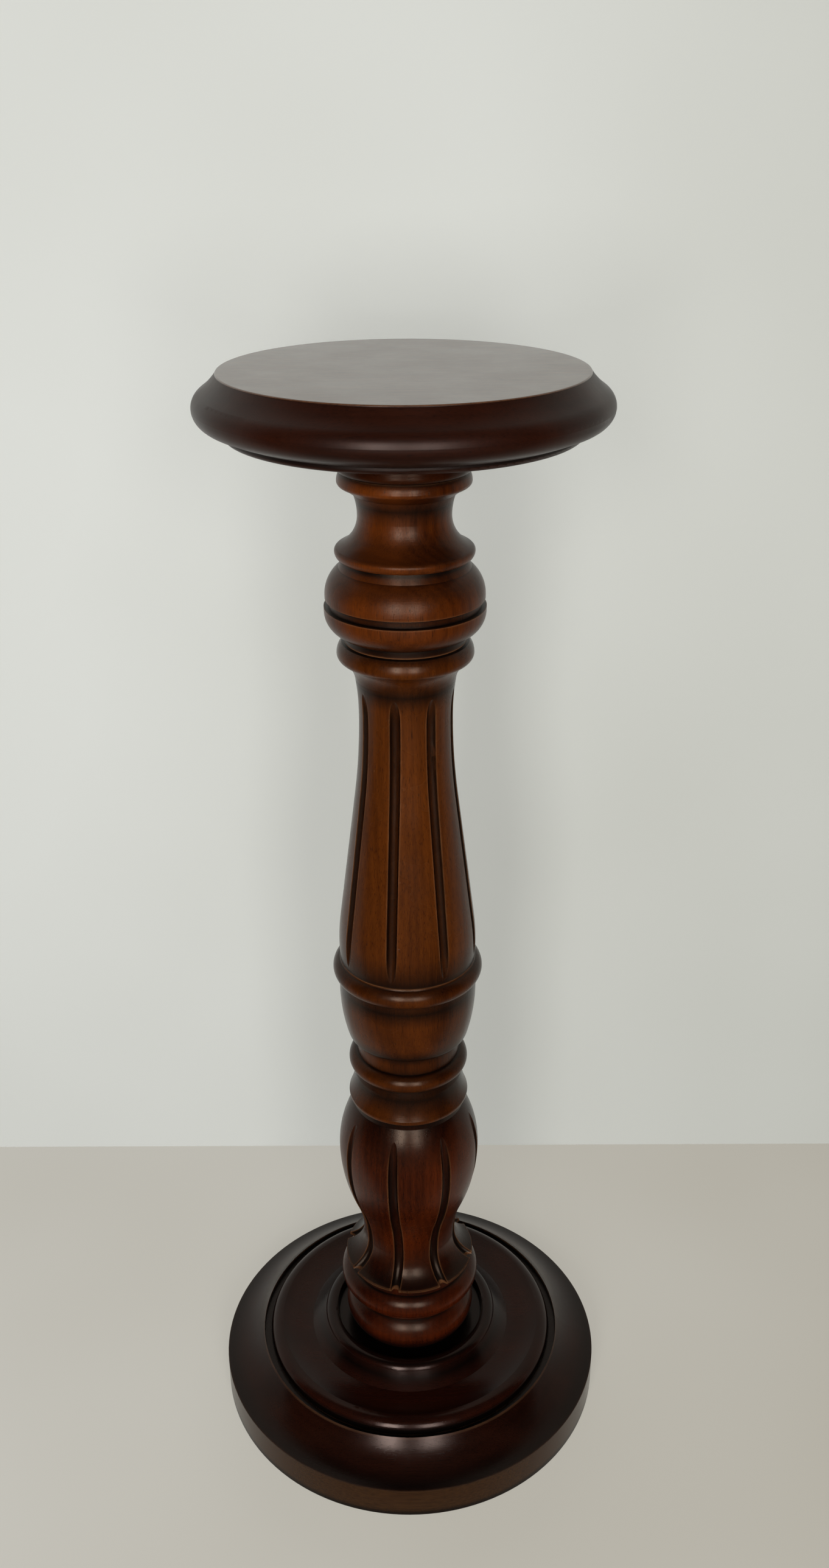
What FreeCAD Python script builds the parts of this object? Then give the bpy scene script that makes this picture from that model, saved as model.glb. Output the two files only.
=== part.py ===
"""Turned and fluted pedestal table: a round top on a sectional column that stands on a two-tier round base.

Millimetres, +Z up. The origin is on the floor, on the column's axis, and the front of the table faces -Y.
Every turned piece is traced as a chain of mouldings, each with its own radius and its own rise, so that the
height of a piece is the sum of its mouldings. The shaft alone stretches, to bring the top to the height of
the table.
"""
import FreeCAD
import Part

import math
import os

TABLE_HEIGHT = 965.0

# Fits
GLUE_GAP = 0.1  # room round a glued dowel, tenon or wedge
END_ROOM = 1.0  # room past the end of a blind dowel or tenon
SCREW_ROOM = 0.05  # room round a driven screw

# Base plinth: upright edge, then a hollow moulding that rises to the groove round the tier
PLINTH_RADIUS = 179.0
PLINTH_EASING = 1.0  # rounded arris at the floor
PLINTH_EDGE_RISE = 30.0
PLINTH_HOLLOW_RISE = 23.5
PLINTH_HOLLOW = 4.0
GROOVE_WIDTH = 6.5  # open groove between the hollow moulding and the foot of the tier
GROOVE_DEPTH = 5.0
GROOVE_BATTER = 0.7

# Base tier: rolled edge, hollow dish, and a raised ring round the socket of the column
TIER_RADIUS = 136.0
TIER_FOOT_RISE = 1.5
TIER_ROLL_WIDTH = 12.0
TIER_ROLL_RISE = 11.0
DISH_INNER_RADIUS = 95.0
DISH_FALL = 4.0
DISH_HOLLOW = 1.5
RING_OUTER_RADIUS = 82.0
RING_COVE_RISE = 11.5
RING_COVE_HOLLOW = 0.3
RING_INNER_RADIUS = 70.5
RING_RISE = 4.3
RING_BULGE = 2.8
SOCKET_RADIUS = 68.5
SOCKET_BED = 16.5  # wood left under the socket

# Column foot: bead and torus
FOOT_RADIUS = 50.0
FOOT_BEAD_RADIUS = 60.6
FOOT_BEAD_RISE = 18.9
FOOT_BEAD_FALL = 17.6
FOOT_QUIRK_RADIUS = 51.5
FOOT_QUIRK_RISE = 7.7
TORUS_RADIUS = 64.6
TORUS_RISE = 12.7
TORUS_FALL = 13.6
TORUS_TOP_RADIUS = 55.5
TORUS_FILLET_RISE = 8.1

# Fluted baluster: lip, flare, waist, belly and shoulder
LIP_RADIUS = 59.8
LIP_RISE = 2.1
FLARE_RISE = 25.3
WAIST_RADIUS = 42.7
WAIST_HOLLOW_RISE = 40.0
BELLY_SWELL_RISE = 62.0
BELLY_RADIUS = 63.3
SHOULDER_RISE = 50.5
SHOULDER_RADIUS = 49.6
SHOULDER_FILLET_RISE = 6.5
SHOULDER_FILLET_RADIUS = 49.3

# Cup section: flared skirt, bead, cup and middle ring
SKIRT_ARRIS_RADIUS = 52.6
SKIRT_ARRIS_RISE = 1.2
SKIRT_RADIUS = 53.0
SKIRT_RISE = 2.3
SKIRT_FALL = 1.5
SKIRT_TOP_RADIUS = 47.5
SKIRT_HOLLOW_RISE = 21.0
SKIRT_HOLLOW = 0.9
BEAD_QUIRK_RADIUS = 46.0
BEAD_QUIRK_RISE = 6.5
BEAD_RADIUS = 52.3
BEAD_RISE = 7.1
BEAD_FALL = 9.4
CUP_QUIRK_RADIUS = 45.0
CUP_QUIRK_RISE = 16.0
CUP_UNDERSIDE_RADIUS = 48.0
CUP_UNDERSIDE_RISE = 1.2
CUP_TURN_RADIUS = 52.6
CUP_TURN_RISE = 4.3
CUP_TURN_BULGE = 0.9
CUP_RADIUS = 58.7
CUP_RISE = 44.0
CUP_BAND_RISE = 14.3
MIDDLE_RING_ARRIS_RADIUS = 62.2
MIDDLE_RING_ARRIS_RISE = 0.8
MIDDLE_RING_RADIUS = 63.9
MIDDLE_RING_RISE = 5.2
MIDDLE_RING_FALL = 9.2
MIDDLE_RING_TOP_RADIUS = 58.2
MIDDLE_RING_FILLET_RISE = 1.0

# Fluted shaft: rounded foot, straight taper, waist, throat, cove and ring
SHAFT_FOOT_RADIUS = 57.6
SHAFT_FOOT_SHARE = 0.174  # of the height from the seat of the shaft to its waist
SHAFT_WAIST_SHARE = 0.308
SHAFT_WAIST_HOLLOW = 4.4  # how far the end of the straight taper stands out from the waist
SHAFT_WAIST_RADIUS = 37.2
THROAT_RISE = 31.0
THROAT_FLARE = 2.4  # how far the throat stands out from the waist
COVE_RISE = 15.8
COVE_RADIUS = 51.0
SHAFT_RING_RADIUS = 53.5
SHAFT_RING_RISE = 4.7
SHAFT_RING_FALL = 9.5
SHAFT_RING_TOP_RADIUS = 49.6
SHAFT_FILLET_RISE = 1.0

# Neck capital: ball with a sunk band, ring, waisted neck and top bead
BALL_QUIRK_RADIUS = 47.5
BALL_QUIRK_RISE = 5.6
BALL_ARRIS_RADIUS = 51.5
BALL_ARRIS_RISE = 1.4
BALL_RADIUS = 62.3
BALL_RISE = 17.0
BALL_LIP_RISE = 3.5
BAND_WIDTH = 6.5
BAND_DEPTH = 2.4
BAND_SLOPE = 0.9
UPPER_BALL_RADIUS = 61.4
UPPER_BALL_LIP_RISE = 2.5
UPPER_BALL_FALL = 21.5
UPPER_BALL_TOP_RADIUS = 50.5
NECK_QUIRK_RADIUS = 47.8
NECK_QUIRK_RISE = 7.0
NECK_ARRIS_RADIUS = 51.6
NECK_ARRIS_RISE = 1.2
NECK_RING_RADIUS = 53.2
NECK_RING_RISE = 4.3
NECK_RING_FALL = 2.9
NECK_RING_TOP_RADIUS = 51.5
NECK_RISE = 24.1
NECK_RADIUS = 35.4
NECK_FLARE_RISE = 16.5
NECK_FLARE_RADIUS = 38.4
TOP_BEAD_SLOPE_RISE = 6.0
TOP_BEAD_SLOPE_RADIUS = 47.0
TOP_BEAD_RISE = 3.3
TOP_BEAD_RADIUS = 50.3
TOP_BEAD_FALL = 7.2
TOP_BEAD_SEAT_RADIUS = 48.0

# Boss under the top
BOSS_RADIUS = 50.6
BOSS_ROUND_RISE = 4.0
BOSS_PLAIN_RISE = 23.5

# Round top with its moulded edge
TOP_UNDERSIDE_RADIUS = 128.5
TOP_ARRIS_RADIUS = 131.2
TOP_ARRIS_RISE = 3.0
TOP_QUIRK_RISE = 1.5
TOP_STEP_RADIUS = 136.8
TOP_STEP_RISE = 2.1
TOP_SLOPE_RADIUS = 145.7
TOP_SLOPE_RISE = 3.6
TOP_RADIUS = 151.9
TOP_CREST_RISE = 10.7
TOP_CREST_FALL = 10.4
TOP_CREST_FALL_RADIUS = 146.4
TOP_HOLLOW_RISE = 12.5
TOP_FACE_RADIUS = 133.9
TOP_EASING = 1.2

# Flutes: a round-nosed cutter follows the outline and lifts out at the ends
FLUTE_COUNT = 8
FLUTE_TURN = 32.0  # degrees from the front to the first flute
FLUTE_RADIUS = 4.4
FLUTE_STANDOFF = 0.4  # how far the cutter's middle runs outside the surface
SHAFT_FLUTE_FOOT_LIFT = 5.5  # how far the cutter's middle stands off the shaft's foot
SHAFT_FLUTE_HEAD_RISE = 26.0  # height over which the cutter leaves the shaft's waist
SHAFT_FLUTE_HEAD_LIFT = 7.2
SHOULDER_FLUTE_RISE = 45.0  # height over which the cutter leaves the baluster's belly
SHOULDER_FLUTE_INSET = 5.5
LIP_FLUTE_LIFT = 2.0  # how far the cutter has risen where it leaves the baluster's lip
LIP_FLUTE_OVERRUN = 12.0  # straight run past the lip

# Loose dowels between the sections of the column
DOWEL_RADIUS = 14.0
DOWEL_LENGTH = 90.0
DOWEL_CHAMFER = 1.5

# Tenons at the two ends of the column, and the wedge in the lower one
TOP_TENON_RADIUS = 16.0
TOP_MORTISE_DEPTH = 14.0
FOOT_TENON_RADIUS = 20.0
FOOT_TENON_SETBACK = 2.0  # from the floor up to the end of the tenon
WEDGE_LENGTH = 36.0
WEDGE_BUTT = 6.0
WEDGE_TIP = 1.0

# Wood screws, driven up from counterbores
SCREW_COUNT = 4
SCREW_TURN = 45.0  # degrees from +X to the first screw of a ring
SCREW_LENGTH = 45.0
SCREW_HEAD_RADIUS = 4.6
SCREW_HEAD_RISE = 2.6
SCREW_SHANK_RADIUS = 2.4
SCREW_SHANK_RISE = 17.0
SCREW_CORE_RADIUS = 1.8
SCREW_POINT_RISE = 5.0
SCREW_TIP_RADIUS = 0.4
SCREW_SLOT_WIDTH = 1.2
SCREW_SLOT_DEPTH = 1.1
COUNTERBORE_RADIUS = 6.0
BOSS_SCREW_CIRCLE = 33.0  # radius of the ring of screws in the boss
BOSS_SCREW_BITE = 20.0  # how far those screws reach into the top
BASE_SCREW_CIRCLE = 75.0
BASE_SCREW_BITE = 15.0  # how far the plinth's screws reach into the tier

AXIS = FreeCAD.Vector(0, 0, 1)
ORIGIN = FreeCAD.Vector(0, 0, 0)
FRONT = -90.0  # direction of the front, in degrees from +X


def at(radius, height):
    """Point of a half section, which is drawn in the XZ plane."""
    return FreeCAD.Vector(radius, 0, height)


def arc(start, via, end):
    return Part.Arc(start, via, end).toShape()


def upright_via(upright, other):
    """Middle of the arc between two points whose tangent at the first one is vertical."""
    step = other - upright
    radius = -step.Length ** 2 / (2 * step.x)
    centre = upright - at(radius, 0)
    spread = math.atan2(step.z / radius, (step.x + radius) / radius)
    return centre + at(radius * math.cos(spread / 2), radius * math.sin(spread / 2))


def tangent_via(start, direction, end):
    """Middle of the arc that leaves start along direction and reaches end."""
    chord = end - start
    turn = math.atan2(direction.z, direction.x) - math.atan2(chord.z, chord.x)
    aside = at(-chord.z, chord.x) * (0.5 * math.tan(turn / 2))
    return start + chord * 0.5 + aside


class Outline:
    """Half section of a turned piece, traced up its outside. Each move gives a new radius and a rise."""

    def __init__(self, height, radius):
        self.bottom = at(0, height)
        self.point = self.bottom
        self.edges = []
        self.line(radius, 0)

    def add(self, edge, end):
        self.edges.append(edge)
        self.point = end
        return edge

    def line(self, radius, rise):
        end = at(radius, self.point.z + rise)
        return self.add(Part.LineSegment(self.point, end).toShape(), end)

    def swell(self, radius, rise):
        """Arc that ends upright, on a crest or a waist."""
        end = at(radius, self.point.z + rise)
        return self.add(arc(self.point, upright_via(end, self.point), end), end)

    def fall(self, radius, rise):
        """Arc that starts upright, from a crest or a waist."""
        end = at(radius, self.point.z + rise)
        return self.add(arc(self.point, upright_via(self.point, end), end), end)

    def bow(self, radius, rise, bulge):
        """Arc that stands out from the straight line by bulge, or is hollow where that is negative."""
        end = at(radius, self.point.z + rise)
        chord = end - self.point
        outward = at(chord.z, -chord.x) * (bulge / chord.Length)
        return self.add(arc(self.point, self.point + chord * 0.5 + outward, end), end)

    def sweep(self, radius, rise):
        """Arc that carries on smoothly from the last edge."""
        last = self.edges[-1]
        end = at(radius, self.point.z + rise)
        via = tangent_via(self.point, last.tangentAt(last.LastParameter), end)
        return self.add(arc(self.point, via, end), end)

    def turn(self):
        """Closes the section on the axis and turns it into a solid."""
        self.line(0, 0)
        axis_edge = Part.LineSegment(self.point, self.bottom).toShape()
        face = Part.Face(Part.Wire(self.edges + [axis_edge]))
        return face.revolve(ORIGIN, AXIS, 360)


def rod(radius, bottom, top):
    return Part.makeCylinder(radius, top - bottom, at(0, bottom), AXIS)


def ring_of(shape, count, turn):
    """Copies of a shape, spread evenly round the axis, the first one turned by so many degrees."""
    copies = []
    for i in range(count):
        copy = shape.copy()
        copy.rotate(ORIGIN, AXIS, turn + 360.0 * i / count)
        copies.append(copy)
    return copies


def flutes(path):
    """Ring of round-nosed cuts along a chain of smoothly joined edges."""
    first = path[0]
    start = first.valueAt(first.FirstParameter)
    nose = Part.Circle(start, first.tangentAt(first.FirstParameter), FLUTE_RADIUS).toShape()
    cutter = Part.Wire(path).makePipeShell([Part.Wire([nose])], True, False)
    cutter.translate(at(FLUTE_STANDOFF, 0))
    return ring_of(cutter, FLUTE_COUNT, FRONT + FLUTE_TURN)


def base_plinth():
    """Lower disc of the base, and the height of the bed that the tier stands on."""
    plinth = Outline(0, PLINTH_RADIUS - PLINTH_EASING)
    plinth.swell(PLINTH_RADIUS, PLINTH_EASING)
    plinth.line(PLINTH_RADIUS, PLINTH_EDGE_RISE)
    plinth.bow(TIER_RADIUS + GROOVE_WIDTH, PLINTH_HOLLOW_RISE, -PLINTH_HOLLOW)
    plinth.line(TIER_RADIUS + GROOVE_WIDTH - GROOVE_BATTER, -GROOVE_DEPTH)
    return plinth.turn(), plinth.point.z


def base_tier(bed):
    """Upper disc of the base, and the height of the socket's bed, where the column stands."""
    tier = Outline(bed, TIER_RADIUS)
    tier.line(TIER_RADIUS, TIER_FOOT_RISE)
    tier.fall(TIER_RADIUS - TIER_ROLL_WIDTH, TIER_ROLL_RISE)
    tier.bow(DISH_INNER_RADIUS, -DISH_FALL, -DISH_HOLLOW)
    tier.bow(RING_OUTER_RADIUS, RING_COVE_RISE, -RING_COVE_HOLLOW)
    tier.bow(RING_INNER_RADIUS, RING_RISE, RING_BULGE)
    tier.line(SOCKET_RADIUS, bed + SOCKET_BED - tier.point.z)
    return tier.turn(), tier.point.z


def column_foot(seat):
    """Foot of the column, and the height of its top."""
    foot = Outline(seat, FOOT_RADIUS)
    foot.swell(FOOT_BEAD_RADIUS, FOOT_BEAD_RISE)
    foot.fall(FOOT_QUIRK_RADIUS, FOOT_BEAD_FALL)
    foot.line(FOOT_QUIRK_RADIUS, FOOT_QUIRK_RISE)
    foot.swell(TORUS_RADIUS, TORUS_RISE)
    foot.fall(TORUS_TOP_RADIUS, TORUS_FALL)
    foot.line(TORUS_TOP_RADIUS, TORUS_FILLET_RISE)
    return foot.turn(), foot.point.z


def fluted_baluster(seat):
    """Lower vase of the column, whose flutes run out through its lip, and the height of its top."""
    baluster = Outline(seat, LIP_RADIUS)
    baluster.line(LIP_RADIUS, LIP_RISE)
    lip = baluster.point
    baluster.swell(WAIST_RADIUS, FLARE_RISE)
    waist = baluster.point
    share = WAIST_HOLLOW_RISE / (WAIST_HOLLOW_RISE + BELLY_SWELL_RISE)
    hollow = baluster.fall(WAIST_RADIUS + share * (BELLY_RADIUS - WAIST_RADIUS), WAIST_HOLLOW_RISE)
    swell = baluster.swell(BELLY_RADIUS, BELLY_SWELL_RISE)
    belly = baluster.point
    baluster.fall(SHOULDER_RADIUS, SHOULDER_RISE)
    baluster.line(SHOULDER_FILLET_RADIUS, SHOULDER_FILLET_RISE)
    lip_lift = lip + at(LIP_FLUTE_LIFT, 0)
    flare = arc(lip_lift, upright_via(waist, lip_lift), waist)
    past_lip = lip_lift - flare.tangentAt(flare.FirstParameter) * LIP_FLUTE_OVERRUN
    overrun = Part.LineSegment(past_lip, lip_lift).toShape()
    lift_end = belly + at(-SHOULDER_FLUTE_INSET, SHOULDER_FLUTE_RISE)
    lift = arc(belly, upright_via(belly, lift_end), lift_end)
    solid = baluster.turn().cut(flutes([overrun, flare, hollow, swell, lift]))
    return solid, baluster.point.z


def cup_section(seat):
    """Skirt, bead, cup and middle ring of the column, and the height of the top."""
    cup = Outline(seat, SHOULDER_FILLET_RADIUS)
    cup.line(SKIRT_ARRIS_RADIUS, SKIRT_ARRIS_RISE)
    cup.swell(SKIRT_RADIUS, SKIRT_RISE)
    cup.fall(SKIRT_ARRIS_RADIUS, SKIRT_FALL)
    cup.bow(SKIRT_TOP_RADIUS, SKIRT_HOLLOW_RISE, -SKIRT_HOLLOW)
    cup.line(BEAD_QUIRK_RADIUS, BEAD_QUIRK_RISE)
    cup.swell(BEAD_RADIUS, BEAD_RISE)
    cup.fall(CUP_QUIRK_RADIUS, BEAD_FALL)
    cup.line(CUP_QUIRK_RADIUS, CUP_QUIRK_RISE)
    cup.line(CUP_UNDERSIDE_RADIUS, CUP_UNDERSIDE_RISE)
    cup.bow(CUP_TURN_RADIUS, CUP_TURN_RISE, CUP_TURN_BULGE)
    cup.swell(CUP_RADIUS, CUP_RISE)
    cup.line(CUP_RADIUS, CUP_BAND_RISE)
    cup.line(MIDDLE_RING_ARRIS_RADIUS, MIDDLE_RING_ARRIS_RISE)
    cup.swell(MIDDLE_RING_RADIUS, MIDDLE_RING_RISE)
    cup.fall(MIDDLE_RING_TOP_RADIUS, MIDDLE_RING_FALL)
    cup.line(SHAFT_FOOT_RADIUS, MIDDLE_RING_FILLET_RISE)
    return cup.turn(), cup.point.z


def fluted_shaft(seat, top):
    """Tall vase of the column with its flutes and upper ring, between the heights seat and top."""
    head_rise = THROAT_RISE + COVE_RISE + SHAFT_RING_RISE + SHAFT_RING_FALL + SHAFT_FILLET_RISE
    waist_height = top - head_rise
    foot_rise = SHAFT_FOOT_SHARE * (waist_height - seat)
    hollow_rise = SHAFT_WAIST_SHARE * (waist_height - seat)
    taper_rise = waist_height - seat - foot_rise - hollow_rise
    shaft = Outline(seat, SHAFT_FOOT_RADIUS)
    foot = shaft.point
    waist = at(SHAFT_WAIST_RADIUS, waist_height)
    taper_top = waist + at(SHAFT_WAIST_HOLLOW, -hollow_rise)
    hollow = arc(taper_top, upright_via(waist, taper_top), waist)
    slope = hollow.tangentAt(hollow.FirstParameter)
    taper_foot = taper_top - slope * (taper_rise / slope.z)
    shaft.add(arc(foot, tangent_via(taper_foot, slope * -1, foot), taper_foot), taper_foot)
    taper = shaft.line(taper_top.x, taper_rise)
    shaft.add(hollow, waist)
    shaft.fall(SHAFT_WAIST_RADIUS + THROAT_FLARE, THROAT_RISE)
    shaft.sweep(COVE_RADIUS, COVE_RISE)
    shaft.swell(SHAFT_RING_RADIUS, SHAFT_RING_RISE)
    shaft.fall(SHAFT_RING_TOP_RADIUS, SHAFT_RING_FALL)
    shaft.line(BALL_QUIRK_RADIUS, SHAFT_FILLET_RISE)
    lead_in = foot + at(SHAFT_FLUTE_FOOT_LIFT, 0)
    entry = arc(lead_in, tangent_via(taper_foot, slope * -1, lead_in), taper_foot)
    lift_end = waist + at(SHAFT_FLUTE_HEAD_LIFT, SHAFT_FLUTE_HEAD_RISE)
    lift = arc(waist, upright_via(waist, lift_end), lift_end)
    return shaft.turn().cut(flutes([entry, taper, hollow, lift]))


def neck_capital():
    """Ball, ring, neck and top bead of the column, drawn at zero height, and their rise to the boss."""
    capital = Outline(0, BALL_QUIRK_RADIUS)
    capital.line(BALL_QUIRK_RADIUS, BALL_QUIRK_RISE)
    capital.line(BALL_ARRIS_RADIUS, BALL_ARRIS_RISE)
    capital.swell(BALL_RADIUS, BALL_RISE)
    capital.line(BALL_RADIUS, BALL_LIP_RISE)
    capital.line(UPPER_BALL_RADIUS - BAND_DEPTH, BAND_SLOPE)
    capital.line(UPPER_BALL_RADIUS - BAND_DEPTH, BAND_WIDTH - 2 * BAND_SLOPE)
    capital.line(UPPER_BALL_RADIUS, BAND_SLOPE)
    capital.line(UPPER_BALL_RADIUS, UPPER_BALL_LIP_RISE)
    capital.fall(UPPER_BALL_TOP_RADIUS, UPPER_BALL_FALL)
    capital.line(NECK_QUIRK_RADIUS, NECK_QUIRK_RISE)
    capital.line(NECK_ARRIS_RADIUS, NECK_ARRIS_RISE)
    capital.swell(NECK_RING_RADIUS, NECK_RING_RISE)
    capital.fall(NECK_RING_TOP_RADIUS, NECK_RING_FALL)
    capital.swell(NECK_RADIUS, NECK_RISE)
    capital.fall(NECK_FLARE_RADIUS, NECK_FLARE_RISE)
    capital.line(TOP_BEAD_SLOPE_RADIUS, TOP_BEAD_SLOPE_RISE)
    capital.swell(TOP_BEAD_RADIUS, TOP_BEAD_RISE)
    capital.fall(TOP_BEAD_SEAT_RADIUS, TOP_BEAD_FALL)
    return capital.turn(), capital.point.z


def top_boss():
    """Boss that is screwed to the top, drawn at zero height, and its rise."""
    boss = Outline(0, TOP_BEAD_SEAT_RADIUS)
    boss.swell(BOSS_RADIUS, BOSS_ROUND_RISE)
    boss.line(BOSS_RADIUS, BOSS_PLAIN_RISE)
    return boss.turn(), boss.point.z


def top_board():
    """Round top, drawn at zero height, and its rise: arris, quirk and slope, crest, hollow and flat face."""
    board = Outline(0, TOP_UNDERSIDE_RADIUS)
    board.swell(TOP_ARRIS_RADIUS, TOP_ARRIS_RISE)
    board.line(TOP_ARRIS_RADIUS, TOP_QUIRK_RISE)
    board.line(TOP_STEP_RADIUS, TOP_STEP_RISE)
    board.line(TOP_SLOPE_RADIUS, TOP_SLOPE_RISE)
    board.swell(TOP_RADIUS, TOP_CREST_RISE)
    board.fall(TOP_CREST_FALL_RADIUS, TOP_CREST_FALL)
    board.sweep(TOP_FACE_RADIUS, TOP_HOLLOW_RISE)
    board.fall(TOP_FACE_RADIUS - TOP_EASING, TOP_EASING)
    return board.turn(), board.point.z


def dowel(middle):
    half = DOWEL_LENGTH / 2
    pin = Outline(middle - half, DOWEL_RADIUS - DOWEL_CHAMFER)
    pin.line(DOWEL_RADIUS, DOWEL_CHAMFER)
    pin.line(DOWEL_RADIUS, DOWEL_LENGTH - 2 * DOWEL_CHAMFER)
    pin.line(DOWEL_RADIUS - DOWEL_CHAMFER, DOWEL_CHAMFER)
    return pin.turn()


def dowel_hole(middle):
    reach = DOWEL_LENGTH / 2 + END_ROOM
    return rod(DOWEL_RADIUS + GLUE_GAP, middle - reach, middle + reach)


def wedge_prism(room):
    """Tapered prism across the end of the foot's tenon, thick end down, smaller by room on each flank."""
    butt = WEDGE_BUTT / 2 - room
    tip = WEDGE_TIP / 2 - room
    low = FOOT_TENON_SETBACK
    high = low + WEDGE_LENGTH - room
    corners = [at(-butt, low), at(butt, low), at(tip, high), at(-tip, high), at(-butt, low)]
    face = Part.Face(Part.makePolygon(corners))
    face.translate(FreeCAD.Vector(0, -FOOT_TENON_RADIUS, 0))
    return face.extrude(FreeCAD.Vector(0, 2 * FOOT_TENON_RADIUS, 0))


def follow_screw(outline, room):
    """Carries an outline on from the rim of a screw's head to the start of its point."""
    outline.line(SCREW_SHANK_RADIUS + room, SCREW_HEAD_RISE)
    outline.line(SCREW_SHANK_RADIUS + room, SCREW_SHANK_RISE)
    outline.line(SCREW_CORE_RADIUS + room, 0)
    core_rise = SCREW_LENGTH - SCREW_HEAD_RISE - SCREW_SHANK_RISE - SCREW_POINT_RISE
    outline.line(SCREW_CORE_RADIUS + room, core_rise)


def screws(circle, head):
    """Ring of slotted countersunk screws that point upwards, their heads at the height head."""
    screw = Outline(head, SCREW_HEAD_RADIUS)
    follow_screw(screw, 0)
    screw.line(SCREW_TIP_RADIUS, SCREW_POINT_RISE)
    slot = Part.makeBox(2 * SCREW_HEAD_RADIUS, SCREW_SLOT_WIDTH, SCREW_SLOT_DEPTH)
    slot.translate(FreeCAD.Vector(-SCREW_HEAD_RADIUS, -SCREW_SLOT_WIDTH / 2, head))
    one = screw.turn().cut(slot)
    one.translate(at(circle, 0))
    return ring_of(one, SCREW_COUNT, SCREW_TURN)


def screw_holes(circle, face, head):
    """Ring of holes for such screws, counterbored from a face up to the heads."""
    hole = Outline(face, COUNTERBORE_RADIUS)
    hole.line(COUNTERBORE_RADIUS, head - face)
    hole.line(SCREW_HEAD_RADIUS + SCREW_ROOM, 0)
    follow_screw(hole, SCREW_ROOM)
    hole.line(SCREW_CORE_RADIUS + SCREW_ROOM, SCREW_POINT_RISE + SCREW_ROOM)
    one = hole.turn()
    one.translate(at(circle, 0))
    return ring_of(one, SCREW_COUNT, SCREW_TURN)


# The base and the lower column, each piece standing on the one before
plinth, bed = base_plinth()
tier, socket = base_tier(bed)
foot, foot_top = column_foot(socket)
baluster, baluster_top = fluted_baluster(foot_top)
cup, cup_top = cup_section(baluster_top)

# The upper pieces hang from the height of the table, and the shaft takes what is left between
board, board_rise = top_board()
boss, boss_rise = top_boss()
capital, capital_rise = neck_capital()
boss_top = TABLE_HEIGHT - board_rise
capital_top = boss_top - boss_rise
shaft_top = capital_top - capital_rise
board.translate(at(0, boss_top))
boss.translate(at(0, capital_top))
capital.translate(at(0, shaft_top))
shaft = fluted_shaft(cup_top, shaft_top)

# The column's lower tenon goes through the base, and its upper one through the boss into the top
foot_tenon = rod(FOOT_TENON_RADIUS, FOOT_TENON_SETBACK, socket)
foot = foot.fuse(foot_tenon).removeSplitter().cut(wedge_prism(0))
wedge = wedge_prism(GLUE_GAP).common(foot_tenon)
foot_mortise = rod(FOOT_TENON_RADIUS + GLUE_GAP, 0, socket)
plinth = plinth.cut(foot_mortise)
tier = tier.cut(foot_mortise)
mortise_top = boss_top + TOP_MORTISE_DEPTH
capital = capital.fuse(rod(TOP_TENON_RADIUS, capital_top, mortise_top - END_ROOM)).removeSplitter()
top_mortise = rod(TOP_TENON_RADIUS + GLUE_GAP, capital_top, mortise_top)
boss = boss.cut(top_mortise)
board = board.cut(top_mortise)

# Dowels where the sections of the column meet
foot = foot.cut(dowel_hole(foot_top))
baluster = baluster.cut([dowel_hole(foot_top), dowel_hole(baluster_top)])
cup = cup.cut([dowel_hole(baluster_top), dowel_hole(cup_top)])
shaft = shaft.cut([dowel_hole(cup_top), dowel_hole(shaft_top)])
capital = capital.cut(dowel_hole(shaft_top))

# Screws from the plinth into the tier, and from the boss into the top
base_heads = bed + BASE_SCREW_BITE - SCREW_LENGTH
base_holes = screw_holes(BASE_SCREW_CIRCLE, 0, base_heads)
plinth = plinth.cut(base_holes)
tier = tier.cut(base_holes)
boss_heads = boss_top + BOSS_SCREW_BITE - SCREW_LENGTH
boss_holes = screw_holes(BOSS_SCREW_CIRCLE, capital_top, boss_heads)
boss = boss.cut(boss_holes)
board = board.cut(boss_holes)

nodes = {
    "base_plinth": plinth,
    "base_tier": tier,
    "base_screws": Part.Compound(screws(BASE_SCREW_CIRCLE, base_heads)),
    "column_foot": foot,
    "foot_wedge": wedge,
    "foot_dowel": dowel(foot_top),
    "fluted_baluster": baluster,
    "baluster_dowel": dowel(baluster_top),
    "cup_section": cup,
    "shaft_dowel": dowel(cup_top),
    "fluted_shaft": shaft,
    "capital_dowel": dowel(shaft_top),
    "neck_capital": capital,
    "top_boss": boss,
    "boss_screws": Part.Compound(screws(BOSS_SCREW_CIRCLE, boss_heads)),
    "top_board": board,
}

os.makedirs("parts", exist_ok=True)
for name, shape in nodes.items():
    shape.exportStep("parts/" + name + ".step")
    print(name, len(shape.Solids), shape.isValid(), round(shape.Volume), shape.BoundBox)
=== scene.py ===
"""Looks of a turned and fluted pedestal table: a round top on a sectional column and a two-tier round base.

Metres, +Z up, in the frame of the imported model: the origin is on the floor, on the column's axis, and the
front of the table faces -Y. The sections below follow the table as it is put together, from the floor up.
"""
import math

import bpy
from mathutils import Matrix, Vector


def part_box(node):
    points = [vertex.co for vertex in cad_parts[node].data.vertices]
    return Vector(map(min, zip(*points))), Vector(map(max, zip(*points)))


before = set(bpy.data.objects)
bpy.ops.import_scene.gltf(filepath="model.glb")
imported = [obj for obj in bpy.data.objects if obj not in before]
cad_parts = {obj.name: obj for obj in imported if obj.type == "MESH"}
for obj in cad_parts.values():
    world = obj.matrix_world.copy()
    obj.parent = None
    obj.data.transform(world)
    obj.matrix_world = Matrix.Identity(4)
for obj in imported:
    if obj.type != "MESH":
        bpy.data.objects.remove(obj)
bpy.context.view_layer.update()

# The plinth is the lower disc of the base, turned from a thick round of dark-stained hardwood with its
# grain lying across the table. French polish covers it. Its upright edge is painted paler as painted
# light from the front, and a band of painted shade darkens the lower part of its hollow.


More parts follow.
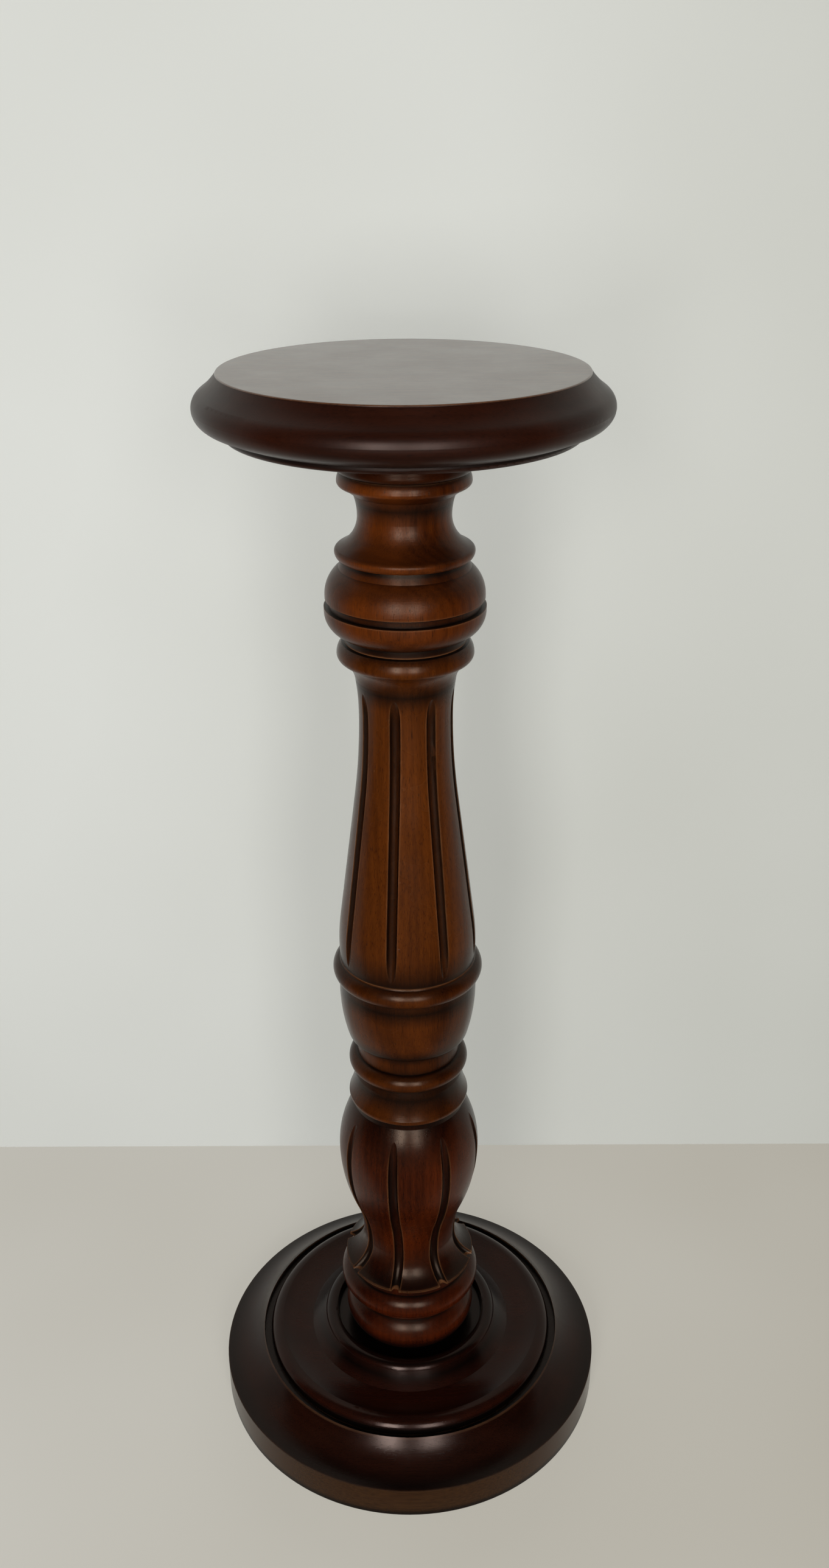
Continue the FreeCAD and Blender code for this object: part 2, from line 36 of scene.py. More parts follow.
def put(tree, kind, sockets=None, **settings):
    """Adds a node to a tree, sets its properties, and fills its sockets with values or links."""
    made = tree.nodes.new(kind)
    for name, value in settings.items():
        setattr(made, name, value)
    for name, value in (sockets or {}).items():
        if isinstance(value, bpy.types.NodeSocket):
            tree.links.new(value, made.inputs[name])
        else:
            made.inputs[name].default_value = value
    return made


def math_of(tree, operation, *values):
    """Works out one sum of values or links."""
    return put(tree, "ShaderNodeMath", dict(enumerate(values)), operation=operation).outputs[0]


def span(tree, value, start, end, new_start=0.0, new_end=1.0):
    """Carries a value from one range to another, held at its ends."""
    ends = {"From Min": start, "From Max": end, "To Min": new_start, "To Max": new_end}
    return put(tree, "ShaderNodeMapRange", {"Value": value, **ends}).outputs[0]


# Places of a mix node's sockets for two colours
SHARE, FIRST_COLOUR, SECOND_COLOUR, MIXED_COLOUR = 0, 6, 7, 2


def blend(tree, share, first, second):
    """Mixes two colours."""
    sockets = {SHARE: share, FIRST_COLOUR: first, SECOND_COLOUR: second}
    return put(tree, "ShaderNodeMix", sockets, data_type="RGBA").outputs[MIXED_COLOUR]


def noise(tree, place, scale, detail, roughness=0.5, **settings):
    """Cloudy pattern of values between nought and one."""
    sockets = {"Vector": place, "Scale": scale, "Detail": detail, "Roughness": roughness}
    return put(tree, "ShaderNodeTexNoise", sockets, **settings).outputs["Fac"]


def new_group(name, inputs, outputs):
    """Empty shader node group with named sockets, and its two end nodes."""
    tree = bpy.data.node_groups.new(name, "ShaderNodeTree")
    for socket, kind, value in inputs:
        made = tree.interface.new_socket(socket, in_out="INPUT", socket_type=kind)
        made.default_value = value
    for socket in outputs:
        tree.interface.new_socket(socket, in_out="OUTPUT", socket_type="NodeSocketFloat")
    return tree, tree.nodes.new("NodeGroupInput").outputs, tree.nodes.new("NodeGroupOutput").inputs


RING_SHARE = 0.2  # of the figure; slow drifts of tone give the rest
PORE_WIDTH = 0.45  # in fibre widths
FIBRE_HEIGHT = 0.35  # as a share of a pore's depth


def make_wood_grain():
    """Figure, fibres and pores of a hardwood whose fibres run along the vector's Z."""
    tree, given, out = new_group(
        "wood grain",
        [
            ("Vector", "NodeSocketVector", (0, 0, 0)),
            ("Ring Width", "NodeSocketFloat", 0.006),
            ("Fibre Width", "NodeSocketFloat", 0.0012),
        ],
        ["Figure", "Fibre", "Pores", "Height"],
    )

    def stretched(width, length):
        """The vector counted in widths across the grain, and in lengths of so many widths along it."""
        across = math_of(tree, "DIVIDE", 1.0, width)
        along = math_of(tree, "DIVIDE", across, length)
        scale = put(tree, "ShaderNodeCombineXYZ", {"X": across, "Y": across, "Z": along}).outputs[0]
        factors = {0: given["Vector"], 1: scale}
        return put(tree, "ShaderNodeVectorMath", factors, operation="MULTIPLY").outputs[0]

    wavy = {
        "Vector": stretched(given["Ring Width"], length=14.0),
        "Scale": 0.314,
        "Distortion": 5.0,
        "Detail": 2.0,
        "Detail Scale": 0.35,
    }
    rings = put(tree, "ShaderNodeTexWave", wavy, wave_type="RINGS", rings_direction="Z").outputs["Fac"]
    drift = noise(tree, stretched(given["Ring Width"], length=9.0), scale=0.16, detail=3.0)
    broad = span(tree, drift, start=0.36, end=0.64)
    banded = math_of(tree, "MULTIPLY", rings, RING_SHARE)
    figure = math_of(tree, "MULTIPLY_ADD", broad, 1.0 - RING_SHARE, banded)
    fibre = noise(tree, stretched(given["Fibre Width"], length=40.0), scale=1.0, detail=3.0, roughness=0.6)
    streak = span(tree, fibre, start=0.3, end=0.7)
    pore_width = math_of(tree, "MULTIPLY", given["Fibre Width"], PORE_WIDTH)
    dashes = noise(tree, stretched(pore_width, length=14.0), scale=1.0, detail=1.0)
    pores = span(tree, dashes, start=0.6, end=0.72)
    ridge = math_of(tree, "MULTIPLY", streak, FIBRE_HEIGHT)
    tree.links.new(figure, out["Figure"])
    tree.links.new(streak, out["Fibre"])
    tree.links.new(pores, out["Pores"])
    tree.links.new(math_of(tree, "SUBTRACT", ridge, pores), out["Height"])
    return tree


def make_lathe_marks():
    """Fine rings that a turning tool and abrasive leave round the axis, and slow waves in the polish."""
    tree, given, out = new_group("lathe marks", [("Pitch", "NodeSocketFloat", 0.0011)], ["Height", "Haze"])
    place = put(tree, "ShaderNodeTexCoord").outputs["Object"]
    flat = put(tree, "ShaderNodeVectorMath", {0: place, 1: (1, 1, 0)}, operation="MULTIPLY").outputs[0]
    radius = put(tree, "ShaderNodeVectorMath", {0: flat}, operation="LENGTH").outputs["Value"]
    height = put(tree, "ShaderNodeSeparateXYZ", {0: place}).outputs["Z"]
    section = put(tree, "ShaderNodeCombineXYZ", {"X": radius, "Y": height}).outputs[0]
    count = math_of(tree, "DIVIDE", 1.0, given["Pitch"])
    lines = noise(tree, section, scale=count, detail=2.0, noise_dimensions="2D")
    haze = noise(tree, place, scale=22.0, detail=4.0)
    tree.links.new(lines, out["Height"])
    tree.links.new(span(tree, haze, start=0.35, end=0.7), out["Haze"])
    return tree


def make_wear_and_shade():
    """Paler arrises, partly thinned stain and partly a painted highlight; corners darkened by dark wax
    and painted shade; painted shade in wide hollows near rings and on upward-facing shoulders."""
    tree, given, out = new_group(
        "paler edges, dark corners and painted shade",
        [
            ("Arris Width", "NodeSocketFloat", 0.0018),
            ("Corner Depth", "NodeSocketFloat", 0.004),
            ("Hollow Depth", "NodeSocketFloat", 0.009),
            ("Shade Reach", "NodeSocketFloat", 0.03),
        ],
        ["Arris", "Wax And Shade", "Painted Shade", "Shoulder"],
    )

    def openness(reach, **settings):
        """Share of the space within reach that is open."""
        sockets = {"Distance": given[reach]}
        return put(tree, "ShaderNodeAmbientOcclusion", sockets, samples=8, **settings).outputs["AO"]

    thin = openness("Arris Width", inside=True, only_local=True)
    near = openness("Corner Depth")
    deep = openness("Hollow Depth")
    wide = openness("Shade Reach")
    place = put(tree, "ShaderNodeTexCoord").outputs["Object"]
    patches = noise(tree, place, scale=45.0, detail=3.0)
    broken = span(tree, patches, start=0.3, end=0.65, new_start=0.4)
    arris = span(tree, thin, start=0.92, end=0.55)
    corner = span(tree, near, start=0.92, end=0.7)
    hollow = span(tree, deep, start=0.95, end=0.74)
    facing = put(tree, "ShaderNodeNewGeometry").outputs["Normal"]
    upward = put(tree, "ShaderNodeSeparateXYZ", {0: facing}).outputs["Z"]
    # Outputs: paler arrises, partly a painted highlight; dark wax and painted shade in corners; painted
    # shade in hollows and on upward faces.
    tree.links.new(math_of(tree, "MULTIPLY", arris, broken), out["Arris"])
    tree.links.new(math_of(tree, "MAXIMUM", corner, hollow), out["Wax And Shade"])
    tree.links.new(span(tree, wide, start=0.92, end=0.5), out["Painted Shade"])
    tree.links.new(span(tree, upward, start=0.12, end=0.6), out["Shoulder"])
    return tree


def new_material(name):
    """Plain material with its tree, its shader and the place of each point on the piece."""
    material = bpy.data.materials.new(name)
    material.use_nodes = True
    tree = material.node_tree
    place = put(tree, "ShaderNodeTexCoord").outputs["Object"]
    return material, tree, tree.nodes["Principled BSDF"], place


def dress(node, material):
    """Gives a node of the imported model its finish."""
    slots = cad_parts[node].data.materials
    slots.clear()
    slots.append(material)


wood_grain = make_wood_grain()
lathe_marks = make_lathe_marks()
wear_and_shade = make_wear_and_shade()

FIBRE_SHARE = 0.35  # of the change in tone; the figure gives the rest
FAINTEST_STREAK = 0.45
# Strength of the bands of painted shade; then of wax and painted shade in corners, and of paler arrises.
BAND_STRENGTH = 0.9
PORE_STRENGTH = 0.6
WAX_AND_SHADE_STRENGTH = 0.95
ARRIS_STRENGTH = 0.75
PAINTED_EDGE_FADE = 0.0006
FACE_FADE = 0.0003
FACE_COAT = 0.78
FACE_COAT_ROUGHNESS = 0.16
CLEAREST, HAZIEST = -0.03, 0.05  # added to the roughness by haze
WAX_ROUGHNESS = 0.06  # added to it by wax
LATHE_BUMP, LATHE_DEPTH = 0.1, 0.0003
GRAIN_BUMP, GRAIN_DEPTH = 0.15, 0.0002


def polished_wood(
    node,
    name,
    tones,
    polish,
    grain_turn,
    grain_shift,
    roughness,
    relief,
    shaded=(),
    painted_lit_edge=None,
    pale_face_sheen=None,
):
    """Gives a piece stained wood: two tones of figure, dark pores, paler arrises that are partly a painted
    highlight, and wax with painted shade in the corners.

    Shaded lists the bands of painted shade, each with its rise above the piece's foot and its reach. The
    lit edge gives the paler colour of painted light on an upright edge, and how far above the foot it ends.
    The face sheen gives the paler colour painted on a flat face as a painted reflection of the wall, under
    a thick polish, and how far below the head of the piece it starts.
    """
    low_corner, high_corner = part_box(node)
    foot, head = low_corner.z, high_corner.z
    material, tree, shader, place = new_material(name)
    height = put(tree, "ShaderNodeSeparateXYZ", {0: place}).outputs["Z"]
    board = {"Vector": place, "Rotation": grain_turn, "Location": grain_shift}
    along = put(tree, "ShaderNodeMapping", board).outputs[0]
    grain = put(tree, "ShaderNodeGroup", node_tree=wood_grain)
    tree.links.new(along, grain.inputs["Vector"])
    figure, fibre, pores, ridges = grain.outputs
    marks = put(tree, "ShaderNodeGroup", node_tree=lathe_marks)
    wear_and_shade_masks = put(tree, "ShaderNodeGroup", node_tree=wear_and_shade).outputs

    light, dark = tones
    slow = math_of(tree, "MULTIPLY", figure, 1.0 - FIBRE_SHARE)
    colour = blend(tree, math_of(tree, "MULTIPLY_ADD", fibre, FIBRE_SHARE, slow), dark, light)
    streaky = span(tree, fibre, start=0.0, end=1.0, new_start=FAINTEST_STREAK)
    # Painted reflection: the flat face is paler, as if mirroring the pale wall, under a real coat.
    if pale_face_sheen:
        shade, depth = pale_face_sheen
        face = span(tree, height, start=head - depth - FACE_FADE, end=head - depth)
        colour = blend(tree, math_of(tree, "MULTIPLY", face, streaky), colour, shade)
        tree.links.new(math_of(tree, "MULTIPLY", face, FACE_COAT), shader.inputs["Coat Weight"])
        shader.inputs["Coat Roughness"].default_value = FACE_COAT_ROUGHNESS
    colour = blend(tree, math_of(tree, "MULTIPLY", pores, PORE_STRENGTH), colour, polish["shade_and_wax"])
    # Painted shade: hollows near rings, upward-facing shoulders and the listed bands turn dark.
    shade_share = math_of(tree, "MULTIPLY", wear_and_shade_masks["Painted Shade"], polish["painted_shade"])
    topped = math_of(tree, "MULTIPLY", wear_and_shade_masks["Shoulder"], polish["shoulder"])
    shade_share = math_of(tree, "MAXIMUM", shade_share, topped)
    for rise, reach in shaded:
        away = math_of(tree, "ABSOLUTE", math_of(tree, "SUBTRACT", height, foot + rise))
        band = span(tree, away, start=reach, end=0.0, new_end=BAND_STRENGTH)
        shade_share = math_of(tree, "MAXIMUM", shade_share, band)
    colour = blend(tree, shade_share, colour, polish["shade_and_wax"])
    # Painted light: an upright edge below the given height is paler.
    if painted_lit_edge:
        shade, rise = painted_lit_edge
        edge = span(tree, height, start=foot + rise + PAINTED_EDGE_FADE, end=foot + rise - PAINTED_EDGE_FADE)
        colour = blend(tree, math_of(tree, "MULTIPLY", edge, streaky), colour, shade)
    # Corners turn dark with wax and painted shade, and arrises paler, partly as a painted highlight.
    colour = blend(tree, math_of(tree, "MULTIPLY", wear_and_shade_masks["Wax And Shade"], WAX_AND_SHADE_STRENGTH), colour, polish["shade_and_wax"])
    colour = blend(tree, math_of(tree, "MULTIPLY", wear_and_shade_masks["Arris"], ARRIS_STRENGTH), colour, polish["arris"])
    tree.links.new(colour, shader.inputs["Base Color"])

    clear, hazy = roughness + CLEAREST, roughness + HAZIEST
    gloss = span(tree, marks.outputs["Haze"], start=0.0, end=1.0, new_start=clear, new_end=hazy)
    dull = math_of(tree, "MULTIPLY_ADD", wear_and_shade_masks["Wax And Shade"], WAX_ROUGHNESS, gloss)
    tree.links.new(dull, shader.inputs["Roughness"])
    turned = {"Strength": LATHE_BUMP * relief, "Distance": LATHE_DEPTH, "Height": marks.outputs["Height"]}
    ringed = put(tree, "ShaderNodeBump", turned).outputs[0]
    fine = {"Strength": GRAIN_BUMP * relief, "Distance": GRAIN_DEPTH, "Height": ridges, "Normal": ringed}
    tree.links.new(put(tree, "ShaderNodeBump", fine).outputs[0], shader.inputs["Normal"])
    shader.inputs["IOR"].default_value = polish["ior"]
    shader.inputs["Specular Tint"].default_value = polish["tint"]
    dress(node, material)


ACROSS = (0, math.radians(90), 0)
DARK_TONES = ((0.019, 0.0048, 0.0022, 1), (0.006, 0.0016, 0.0009, 1))
# The shade strengths set painted shade in hollows and on upward faces; the dark colour serves it too.
DARK_POLISH = {
    "arris": (0.06, 0.028, 0.014, 1),
    "shade_and_wax": (0.0012, 0.0008, 0.0006, 1),
    "painted_shade": 0.8,
    "shoulder": 0.0,
    "ior": 1.31,
    "tint": (1.0, 0.76, 0.67, 1),
}
# Painted light: the upright edge is paler, as lit from the front.
PAINTED_EDGE_LIGHT = ((0.05, 0.021, 0.0065, 1), 0.0306)  # colour, and rise of its end
# Painted shade: a dark band low in the hollow.
HOLLOW_BAND = (0.032, 0.006)  # rise and reach, as for every band below
polished_wood(
    "base_plinth",
    "plinth wood",
    DARK_TONES,
    DARK_POLISH,
    grain_turn=ACROSS,
    grain_shift=(0.31, 0.07, 0.13),
    roughness=0.22,
    relief=0.6,
    shaded=[HOLLOW_BAND],
    painted_lit_edge=PAINTED_EDGE_LIGHT,
)

# The tier is the upper disc of the base, turned with a rolled edge, a dish and a ring round the socket.
# It is of the same dark wood as the plinth, from another board, and is screwed to it from below.

TIER_TONES = ((0.024, 0.005, 0.0021, 1), (0.0085, 0.0019, 0.001, 1))
# Bands of painted shade, standing in for shade and dark reflections, darken the rolled edge, the ring's
# slope and its crest.
ROLL_BAND = (0.005, 0.004)
RING_SLOPE_BAND = (0.016, 0.0078)
RING_CREST_BAND = (0.0243, 0.003)
polished_wood(
    "base_tier",
    "tier wood",
    TIER_TONES,
    DARK_POLISH,
    grain_turn=ACROSS,
    grain_shift=(0.12, -0.06, 0.55),
    roughness=0.19,
    relief=0.4,
    shaded=[ROLL_BAND, RING_SLOPE_BAND, RING_CREST_BAND],
)

# Slotted steel wood screws hold the base together from below, and the boss to the top. They are dull bare
# steel, browned a little where the damp has reached them.

STEEL = (0.42, 0.4, 0.38, 1)
RUST = (0.16, 0.08, 0.04, 1)


def screw_steel():
    material, tree, shader, place = new_material("screw steel")
    rust = span(tree, noise(tree, place, scale=900.0, detail=4.0), start=0.5, end=0.68)
    roughness = span(tree, rust, start=0.0, end=1.0, new_start=0.35, new_end=0.75)
    metallic = span(tree, rust, start=0.0, end=1.0, new_start=1.0, new_end=0.3)
    tree.links.new(blend(tree, rust, STEEL, RUST), shader.inputs["Base Color"])
    tree.links.new(roughness, shader.inputs["Roughness"])
    tree.links.new(metallic, shader.inputs["Metallic"])
    return material


steel = screw_steel()
dress("base_screws", steel)
dress("boss_screws", steel)

# The foot is the lowest section of the column, a bead and a torus turned from red-brown mahogany. Its long
# tenon goes down through the base and is wedged there from below.

UPRIGHT = (0, 0, 0)
FOOT_TONES = ((0.092, 0.0145, 0.0028, 1), (0.017, 0.0022, 0.0006, 1))
# The shade strengths set painted shade in hollows and on upward faces; the dark colour serves it too.
COLUMN_POLISH = {
    "arris": (0.19, 0.075, 0.028, 1),
    "shade_and_wax": (0.0022, 0.0012, 0.0009, 1),
    "painted_shade": 0.85,
    "shoulder": 0.5,
    "ior": 1.29,
    "tint": (1.0, 0.74, 0.56, 1),
}
polished_wood(
    "column_foot",
    "foot wood",
    FOOT_TONES,
    COLUMN_POLISH,
    grain_turn=UPRIGHT,
    grain_shift=(0.09, 0.05, 0.2),
    roughness=0.25,
    relief=1.0,
)

# The wedge and the dowels are of beech, left bare because no one sees them. The wedge is driven into the
# saw kerf of the foot's tenon, and the loose dowels join the sections of the column.

BEECH_LIGHT = (0.56, 0.39, 0.23, 1)
BEECH_DARK = (0.36, 0.22, 0.12, 1)
BEECH_FLECK = (0.2, 0.11, 0.05, 1)
BEECH_FIBRE_WIDTH = 0.0008
BEECH_BUMP = 0.3


def bare_beech():
    material, tree, shader, place = new_material("bare beech")
    board = {"Vector": place, "Fibre Width": BEECH_FIBRE_WIDTH}
    grain = put(tree, "ShaderNodeGroup", board, node_tree=wood_grain).outputs
    colour = blend(tree, grain["Fibre"], BEECH_DARK, BEECH_LIGHT)
    colour = blend(tree, grain["Pores"], colour, BEECH_FLECK)
    roughness = span(tree, grain["Fibre"], start=0.0, end=1.0, new_start=0.65, new_end=0.8)
    open_grain = {"Strength": BEECH_BUMP, "Distance": GRAIN_DEPTH, "Height": grain["Height"]}
    tree.links.new(colour, shader.inputs["Base Color"])
    tree.links.new(roughness, shader.inputs["Roughness"])
    tree.links.new(put(tree, "ShaderNodeBump", open_grain).outputs[0], shader.inputs["Normal"])
    return material


beech = bare_beech()
dress("foot_wedge", beech)
for joint in ("foot", "baluster", "shaft", "capital"):
    dress(joint + "_dowel", beech)

# The baluster is a swelling vase of mahogany with round-nosed flutes that run out through its lip. It is
# redder and darker than the sections above it, and sits on the foot over a dowel.

BALUSTER_TONES = ((0.098, 0.0165, 0.0026, 1), (0.014, 0.002, 0.0006, 1))
baluster_low, baluster_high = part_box("fluted_baluster")
# Bands of painted shade darken the head of the baluster under the skirt, and its flared lip.
BALUSTER_HEAD_BAND = (baluster_high.z - baluster_low.z, 0.05)
LIP_BAND = (0.0034, 0.042)
polished_wood(
    "fluted_baluster",
    "baluster wood",
    BALUSTER_TONES,
    COLUMN_POLISH,
    grain_turn=UPRIGHT,
    grain_shift=(-0.08, 0.07, 0.41),
    roughness=0.26,
    relief=1.0,
    shaded=[BALUSTER_HEAD_BAND, LIP_BAND],
)

# The cup section carries a flared skirt, a bead, a plain cup and the middle ring of the column, turned from
# one block of the same mahogany and glued to its neighbours on dowels.

CUP_TONES = ((0.088, 0.0205, 0.0024, 1), (0.017, 0.0031, 0.0006, 1))
# Bands of painted shade darken the skirt, the quirk under the cup and the cup's head under the middle ring.
SKIRT_BAND = (0.023, 0.02)
CUP_FOOT_BAND = (0.07, 0.011)
CUP_HEAD_BAND = (0.12, 0.014)
polished_wood(
    "cup_section",
    "cup wood",
    CUP_TONES,
    COLUMN_POLISH,
    grain_turn=UPRIGHT,
    grain_shift=(0.07, -0.09, 0.77),
    roughness=0.25,
    relief=1.0,
    shaded=[SKIRT_BAND, CUP_FOOT_BAND, CUP_HEAD_BAND],
)

# The shaft is the long tapering vase of the column, of the same mahogany, with a waist and a ring at its
# head. Its flutes are cut with the same round-nosed tool, and dowels join it to the cup and the capital.

SHAFT_TONES = ((0.108, 0.026, 0.0029, 1), (0.02, 0.0037, 0.0006, 1))
# Bands of painted shade darken the foot of the shaft above the middle ring, and its waist under the head
# ring.
SHAFT_FOOT_BAND = (0.0, 0.026)
WAIST_BAND = (0.251, 0.014)
polished_wood(
    "fluted_shaft",
    "shaft wood",
    SHAFT_TONES,
    COLUMN_POLISH,
    grain_turn=UPRIGHT,
    grain_shift=(0.1, 0.06, 1.13),
    roughness=0.26,
    relief=1.0,
    shaded=[SHAFT_FOOT_BAND, WAIST_BAND],
)

# The capital has a ball with a sunk band, a ring, a waisted neck and a top bead, turned from the palest
# block of the column's mahogany. Its tenon goes up through the boss into the top.

CAPITAL_TONES = ((0.132, 0.029, 0.0034, 1), (0.022, 0.0038, 0.0006, 1))
# Bands of painted shade darken the foot of the ball and the top of the neck under the bead.
BALL_FOOT_BAND = (0.005, 0.014)
NECK_BAND = (0.108, 0.013)
polished_wood(
    "neck_capital",
    "capital wood",
    CAPITAL_TONES,
    COLUMN_POLISH,
    grain_turn=UPRIGHT,
    grain_shift=(-0.06, -0.1, 1.61),
    roughness=0.3,
    relief=1.4,
    shaded=[BALL_FOOT_BAND, NECK_BAND],
)

# The boss is a plain turned block of mahogany with its grain lying across the table, painted darker as
# painted shade under the top. It is screwed under the top and bored for the tenon of the column.

# Darker tones as painted shade under the top.
BOSS_SHADED_TONES = ((0.038, 0.0075, 0.0011, 1), (0.007, 0.0012, 0.0004, 1))
polished_wood(
    "top_boss",
    "boss wood in painted shade",
    BOSS_SHADED_TONES,
    COLUMN_POLISH,
    grain_turn=ACROSS,
    grain_shift=(0.45, 0.11, 0.9),
    roughness=0.28,
    relief=1.0,
)

# The top is one round board with a moulded edge, of dark wood like the base, held by the boss's screws and
# the tenon of the column. Its flat face is painted paler as a painted reflection of the pale wall, under
# the deepest polish of the table.

TOP_TONES = ((0.027, 0.0062, 0.0025, 1), (0.0085, 0.002, 0.0009, 1))
# Paler colour painted on the face as a painted reflection of the wall.
PAINTED_FACE_SHEEN = ((0.14, 0.058, 0.026, 1), 0.0006)  # colour, and depth of its start
polished_wood(
    "top_board",
    "top wood",
    TOP_TONES,
    DARK_POLISH,
    grain_turn=ACROSS,
    grain_shift=(0.2, 0.16, -0.4),
    roughness=0.36,
    relief=0.3,
    pale_face_sheen=PAINTED_FACE_SHEEN,
)

# The stage is a pale floor, a pale wall close behind the table and the far walls of the room, painted matt.
# Each is seen only from its front, so that the near wall doesn't hide the table's back.

DIM = (0.1, 0.1, 0.1, 1)
# Painted shade: the paint darkens towards +X, as the light falls off across the room.
SHADE_ACROSS = 0.8  # of the mottle, for each metre towards +X
PALE_FROM, DIM_FROM = -0.1, -0.21  # places along Y, for reflections
MATT_ROUGHNESS = 0.7
MATT_IOR = 1.2


def pale_paint(name, colour, mottle_and_shade, glow, bounce=None):
    """Matt paint that looks pale, keeps the table's shadow, and darkens towards +X as painted shade.

    Glow is the share of its paleness that no shadow takes away. Bounce is its colour for the light that it
    gives back to the table; without it, such light passes through. In reflections, the part of the room
    that lies towards the viewer is dim.
    """
    material, tree, shader, place = new_material(name)
    sides = put(tree, "ShaderNodeSeparateXYZ", {0: place}).outputs
    clouds = noise(tree, place, scale=1.6, detail=2.0)
    drift = math_of(tree, "MULTIPLY_ADD", sides["X"], SHADE_ACROSS, clouds)
    pale = blend(tree, span(tree, drift, start=0.1, end=0.9), colour, mottle_and_shade)
    ray = put(tree, "ShaderNodeLightPath").outputs
    mirrored = math_of(tree, "MAXIMUM", ray["Is Glossy Ray"], ray["Is Transmission Ray"])
    lit = math_of(tree, "MULTIPLY", mirrored, span(tree, sides["Y"], start=DIM_FROM, end=PALE_FROM))
    shown = math_of(tree, "MAXIMUM", ray["Is Camera Ray"], lit)
    tree.links.new(blend(tree, shown, bounce or DIM, pale), shader.inputs["Base Color"])
    shader.inputs["Roughness"].default_value = MATT_ROUGHNESS
    shader.inputs["IOR"].default_value = MATT_IOR
    light = put(tree, "ShaderNodeEmission", {"Color": pale}).outputs[0]
    share = math_of(tree, "MULTIPLY", shown, glow)
    painted = put(tree, "ShaderNodeMixShader", {0: share, 1: shader.outputs[0], 2: light}).outputs[0]
    hidden = put(tree, "ShaderNodeNewGeometry").outputs["Backfacing"]
    if not bounce:
        seen = math_of(tree, "MAXIMUM", ray["Is Camera Ray"], mirrored)
        hidden = math_of(tree, "MAXIMUM", hidden, math_of(tree, "SUBTRACT", 1.0, seen))
    clear = put(tree, "ShaderNodeBsdfTransparent").outputs[0]
    mixed = put(tree, "ShaderNodeMixShader", {0: hidden, 1: painted, 2: clear}).outputs[0]
    tree.links.new(mixed, tree.nodes["Material Output"].inputs["Surface"])
    return material


def sheet(name, corners, material):
    """Flat panel of the stage, seen from the side on which its corners run anticlockwise."""
    mesh = bpy.data.meshes.new(name)
    mesh.from_pydata(corners, [], [tuple(range(len(corners)))])
    mesh.materials.append(material)
    panel = bpy.data.objects.new(name, mesh)
    bpy.context.scene.collection.objects.link(panel)


REACH = 6.0
FLOOR_DROP = 0.0003
WALL_PLACE = 0.32
WALL_HEIGHT = 5.0


def wall(name, start, end, material):
    """Upright panel from one place on the floor to another, seen from the left of that way."""
    (x1, y1), (x2, y2) = start, end
    low, high = -FLOOR_DROP, WALL_HEIGHT
    sheet(name, [(x2, y2, low), (x1, y1, low), (x1, y1, high), (x2, y2, high)], material)


FLOOR_CREAM = (0.68, 0.66, 0.595, 1)
FLOOR_MOTTLE_AND_SHADE = (0.57, 0.54, 0.465, 1)
FLOOR_BOUNCE = (0.22, 0.21, 0.19, 1)
floor_paint = pale_paint("cream floor", FLOOR_CREAM, FLOOR_MOTTLE_AND_SHADE, glow=0.6, bounce=FLOOR_BOUNCE)
floor_corners = [(-REACH, -REACH), (REACH, -REACH), (REACH, REACH), (-REACH, REACH)]
sheet("floor", [(x, y, -FLOOR_DROP) for x, y in floor_corners], floor_paint)

WALL_PALE = (0.77, 0.78, 0.735, 1)
WALL_MOTTLE_AND_SHADE = (0.63, 0.635, 0.58, 1)
wall_paint = pale_paint("pale wall", WALL_PALE, WALL_MOTTLE_AND_SHADE, glow=0.5)
wall("near wall", (REACH, WALL_PLACE), (-REACH, WALL_PLACE), wall_paint)

FAR_PALE = (0.7, 0.7, 0.66, 1)
FAR_MOTTLE_AND_SHADE = (0.66, 0.66, 0.62, 1)
far_paint = pale_paint("far wall", FAR_PALE, FAR_MOTTLE_AND_SHADE, glow=0.8)
wall("left wall", (-REACH, WALL_PLACE), (-REACH, -REACH), far_paint)
wall("front wall", (-REACH, -REACH), (REACH, -REACH), far_paint)
wall("right wall", (REACH, -REACH), (REACH, WALL_PLACE), far_paint)

# Two tall windows light the table from the front, a little to the left and right, in an otherwise dim room.
# Wide weak panels overhead and behind the near wall stand in for the light that the room gives back.


def soft_light(name, place, aim, size, watts):
    """Flat lamp of a width and a height, turned from its place towards its aim."""
    lamp = bpy.data.lights.new(name, "AREA")
    lamp.shape = "RECTANGLE"
    lamp.size, lamp.size_y = size
    lamp.energy = watts
    light = bpy.data.objects.new(name, lamp)
    bpy.context.scene.collection.objects.link(light)
    light.location = place
    light.rotation_mode = "QUATERNION"
    way = [a - p for a, p in zip(aim, place)]
    light.rotation_quaternion = Vector(way).to_track_quat("-Z", "Y")
    return light


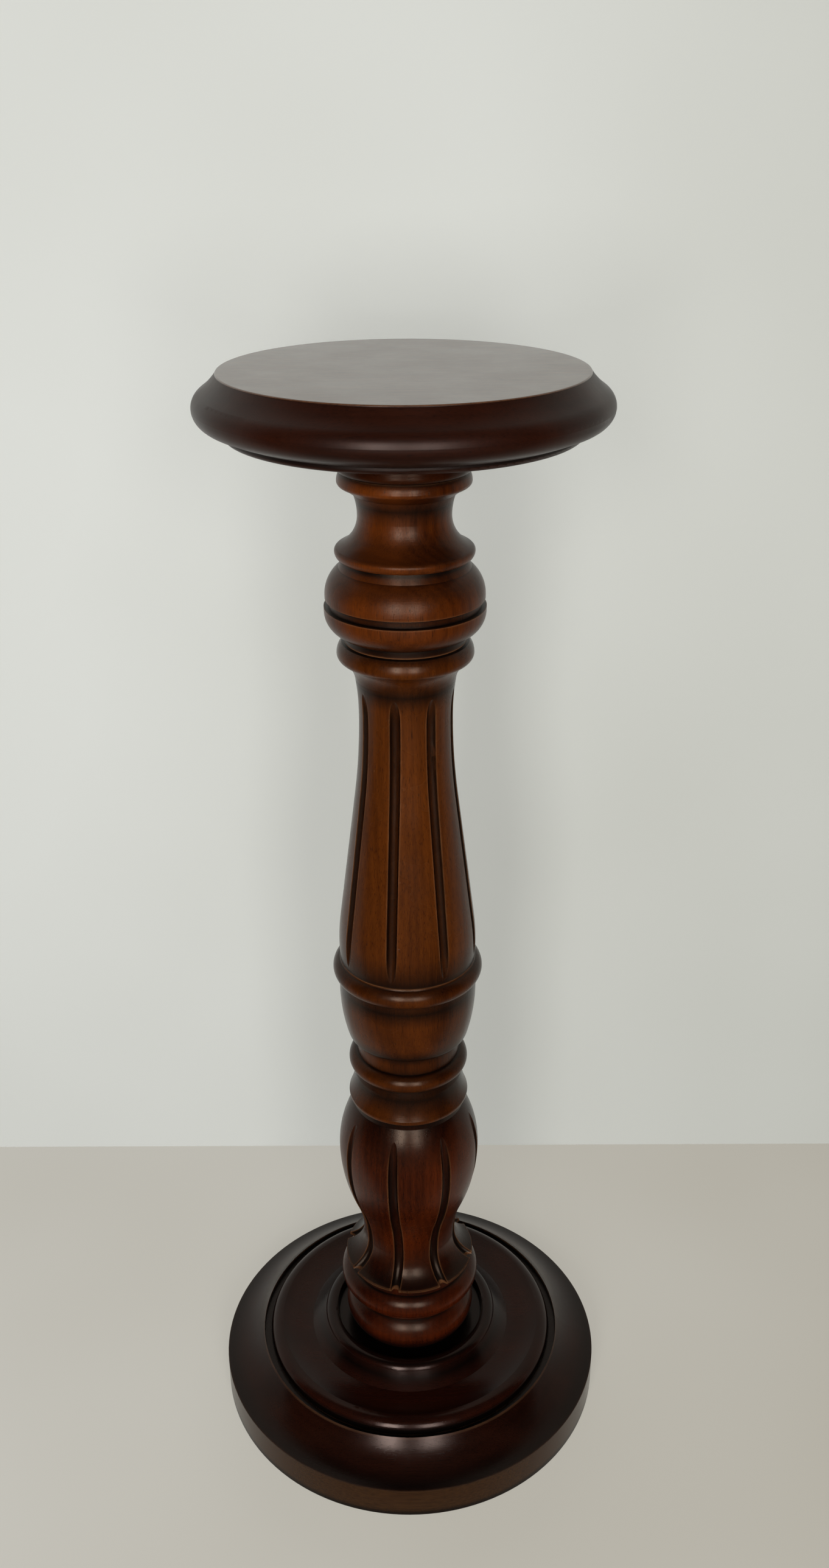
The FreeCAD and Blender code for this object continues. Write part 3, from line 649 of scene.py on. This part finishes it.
WINDOW_AWAY = 2.3
WINDOW_TURN = math.radians(13.5)
WINDOW_HEIGHT = 1.2
WINDOW_SIZE = (0.48, 1.3)
LEFT_WATTS, RIGHT_WATTS = 33.0, 24.0
for turn, watts in ((-WINDOW_TURN, LEFT_WATTS), (WINDOW_TURN, RIGHT_WATTS)):
    window_place = (WINDOW_AWAY * math.sin(turn), -WINDOW_AWAY * math.cos(turn), WINDOW_HEIGHT)
    soft_light("window", window_place, (0, 0, WINDOW_HEIGHT), WINDOW_SIZE, watts)

CEILING_PLACE, CEILING_AIM = (0, -0.6, 2.9), (0, -0.4, 0)
CEILING_SIZE = (4.0, 3.0)
ceiling = soft_light("ceiling", CEILING_PLACE, CEILING_AIM, CEILING_SIZE, watts=6.0)
REAR_PLACE, REAR_AIM = (0, 2.6, 0.9), (0, 0, 0.6)
REAR_SIZE = (3.0, 1.6)
rear = soft_light("rear", REAR_PLACE, REAR_AIM, REAR_SIZE, watts=26.0)
for panel in (ceiling, rear):
    panel.visible_glossy = False

ROOM_AIR = (1.0, 0.97, 0.93, 1)
ROOM_STRENGTH = 0.04
world = bpy.data.worlds.new("room")
world.use_nodes = True
bpy.context.scene.world = world
sky = world.node_tree.nodes["Background"]
sky.inputs["Color"].default_value = ROOM_AIR
sky.inputs["Strength"].default_value = ROOM_STRENGTH

# The camera looks down at the table from the front, at a standing viewer's height. Its place, its turns and
# its focal length, in pixels of the photograph, are fitted to the rims of the top and the base.

CAMERA_PLACE = (0.00656, -1.05107, 1.1444)
CAMERA_PITCH = math.radians(25.79)
CAMERA_ROLL = -0.0041  # radians
SENSOR_WIDTH = 36.0  # millimetres
PHOTO_HEIGHT = 2576
FOCAL_PIXELS = 2367.9
view = bpy.data.cameras.new("camera")
view.sensor_width = SENSOR_WIDTH
view.lens = SENSOR_WIDTH * FOCAL_PIXELS / PHOTO_HEIGHT
camera = bpy.data.objects.new("camera", view)
bpy.context.scene.collection.objects.link(camera)
camera.location = CAMERA_PLACE
camera.rotation_euler = (math.radians(90) - CAMERA_PITCH, 0, 0)
camera.rotation_euler.rotate_axis("Z", CAMERA_ROLL)
bpy.context.scene.camera = camera
bpy.context.scene.view_settings.view_transform = "Standard"
